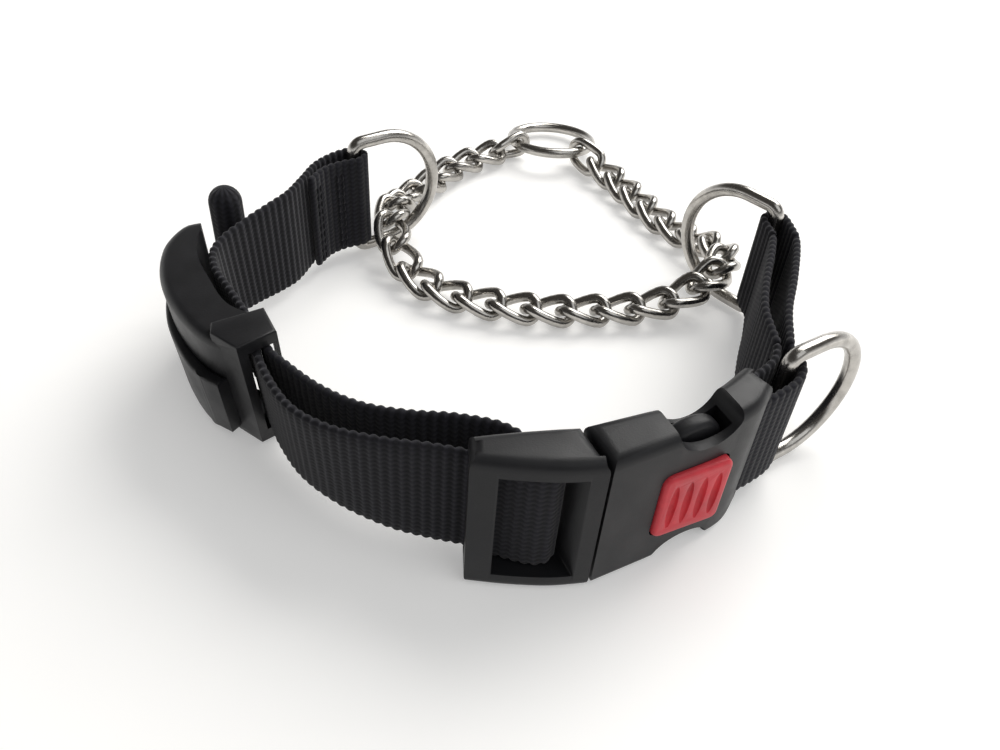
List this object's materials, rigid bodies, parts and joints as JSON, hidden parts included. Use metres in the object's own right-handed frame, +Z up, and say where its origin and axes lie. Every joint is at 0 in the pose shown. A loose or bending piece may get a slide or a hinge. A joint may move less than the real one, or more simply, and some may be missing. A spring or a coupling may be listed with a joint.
{
  "type": "martingale dog collar",
  "caption": "Martingale dog collar of flat black webbing with a contoured side-release buckle, red lock button, length slider, D-rings and a twisted-link chain.",
  "frame": {"origin": "middle of the footprint, on the ground under the lower edges of the buckle", "axes": "+Z up along the width of the webbing, +Y from the buckle towards the leash ring, +X to the wearer-side right of the buckle"},
  "size_m": [0.1452, 0.1784, 0.034],
  "materials": {
    "webbing": "woven flat webbing",
    "plastic": "satin moulded",
    "button": "satin moulded",
    "steel": "bright plated wire"
  },
  "bodies": {
    "collar": {"left_strap": "webbing", "front_strap": "webbing", "plug_body": "plastic", "plug_guide": "plastic", "right_ring_fold": "webbing", "right_strap_inner": "webbing", "right_strap_outer": "webbing", "strap_end_roll": "webbing", "chain_link_01": "steel", "chain_link_02": "steel", "chain_link_03": "steel", "chain_link_04": "steel", "chain_link_05": "steel", "chain_link_06": "steel", "chain_link_07": "steel", "chain_link_08": "steel", "chain_link_09": "steel", "chain_link_10": "steel", "chain_link_19": "steel", "chain_link_20": "steel", "chain_link_21": "steel", "chain_link_22": "steel", "chain_link_23": "steel", "chain_link_24": "steel", "chain_link_25": "steel", "chain_link_26": "steel", "chain_link_27": "steel", "chain_link_28": "steel", "chain_link_29": "steel"},
    "slider": {"length_slider": "plastic"},
    "plug_prong_upper": {"plug_prong_upper": "plastic"},
    "plug_prong_lower": {"plug_prong_lower": "plastic"},
    "socket": {"socket_body": "plastic", "socket_loop": "webbing"},
    "button": {"lock_button": "button"},
    "id_ring": {"id_d_ring": "steel"},
    "left_ring": {"left_d_ring": "steel"},
    "right_ring": {"right_d_ring": "steel"},
    "chain_front_left": {"chain_link_11": "steel", "chain_link_12": "steel", "chain_link_13": "steel", "chain_link_14": "steel"},
    "chain_front_right": {"chain_link_15": "steel", "chain_link_16": "steel", "chain_link_17": "steel", "chain_link_18": "steel"},
    "leash_ring": {"leash_ring": "steel"}
  },
  "joints": [
    {"name": "buckle_release", "type": "slide", "parent": "collar", "child": "socket", "axis": [0.8829, 0.4695, 0], "range_m": [0, 0.024], "deforming": ["right_strap_inner", "right_strap_outer"]},
    {"name": "button_press", "type": "slide", "parent": "socket", "child": "button", "axis": [-0.4695, 0.8829, 0], "range_m": [0, 0.0012], "stiffness_N_per_m": 600},
    {"name": "upper_prong_squeeze", "type": "hinge", "parent": "collar", "child": "plug_prong_upper", "pos_m": [0.01592, -0.08252, 0.024], "axis": [0.4695, -0.8829, 0], "range_deg": [0, 3.5], "stiffness_Nm_per_rad": 0.3},
    {"name": "lower_prong_squeeze", "type": "hinge", "parent": "collar", "child": "plug_prong_lower", "pos_m": [0.01592, -0.08252, 0.009], "axis": [0.4695, -0.8829, 0], "range_deg": [-3.5, 0]},
    {"name": "slider_travel", "type": "slide", "parent": "collar", "child": "slider", "axis": [0.5547, -0.832, 0], "range_m": [-0.0015, 0.0015]},
    {"name": "identity_ring_swing", "type": "hinge", "parent": "socket", "child": "id_ring", "pos_m": [0.05269, -0.05552, 0.0167], "axis": [0, 0, 1], "range_deg": [-70, 45]},
    {"name": "left_ring_swing", "type": "hinge", "parent": "collar", "child": "left_ring", "pos_m": [-0.04081, 0.01198, 0.0167], "axis": [0, 0, 1], "range_deg": [-8, 2]},
    {"name": "right_ring_swing", "type": "hinge", "parent": "collar", "child": "right_ring", "pos_m": [0.06019, -0.00252, 0.0167], "axis": [0, 0, 1], "range_deg": [-4, 8]},
    {"name": "chain_front_sway", "type": "hinge", "parent": "collar", "child": "chain_front_left", "pos_m": [-0.02609, -0.00001, 0.00425], "axis": [0, 0, 1], "range_deg": [-1.5, 1.5]},
    {"name": "chain_front_follow", "type": "hinge", "parent": "collar", "child": "chain_front_right", "pos_m": [0.03928, -0.00613, 0.00519], "axis": [0, 0, 1], "range_deg": [-1.38, 1.38]},
    {"name": "leash_ring_tilt", "type": "hinge", "parent": "collar", "child": "leash_ring", "pos_m": [0.00849, 0.06836, 0.00568], "axis": [0.9922, -0.1233, 0.0186], "range_deg": [-4, 12]}
  ],
  "couplings": [
    {"joint": "lower_prong_squeeze", "follows": "upper_prong_squeeze", "ratio": -1},
    {"joint": "chain_front_follow", "follows": "chain_front_sway", "ratio": -0.854}
  ]
}
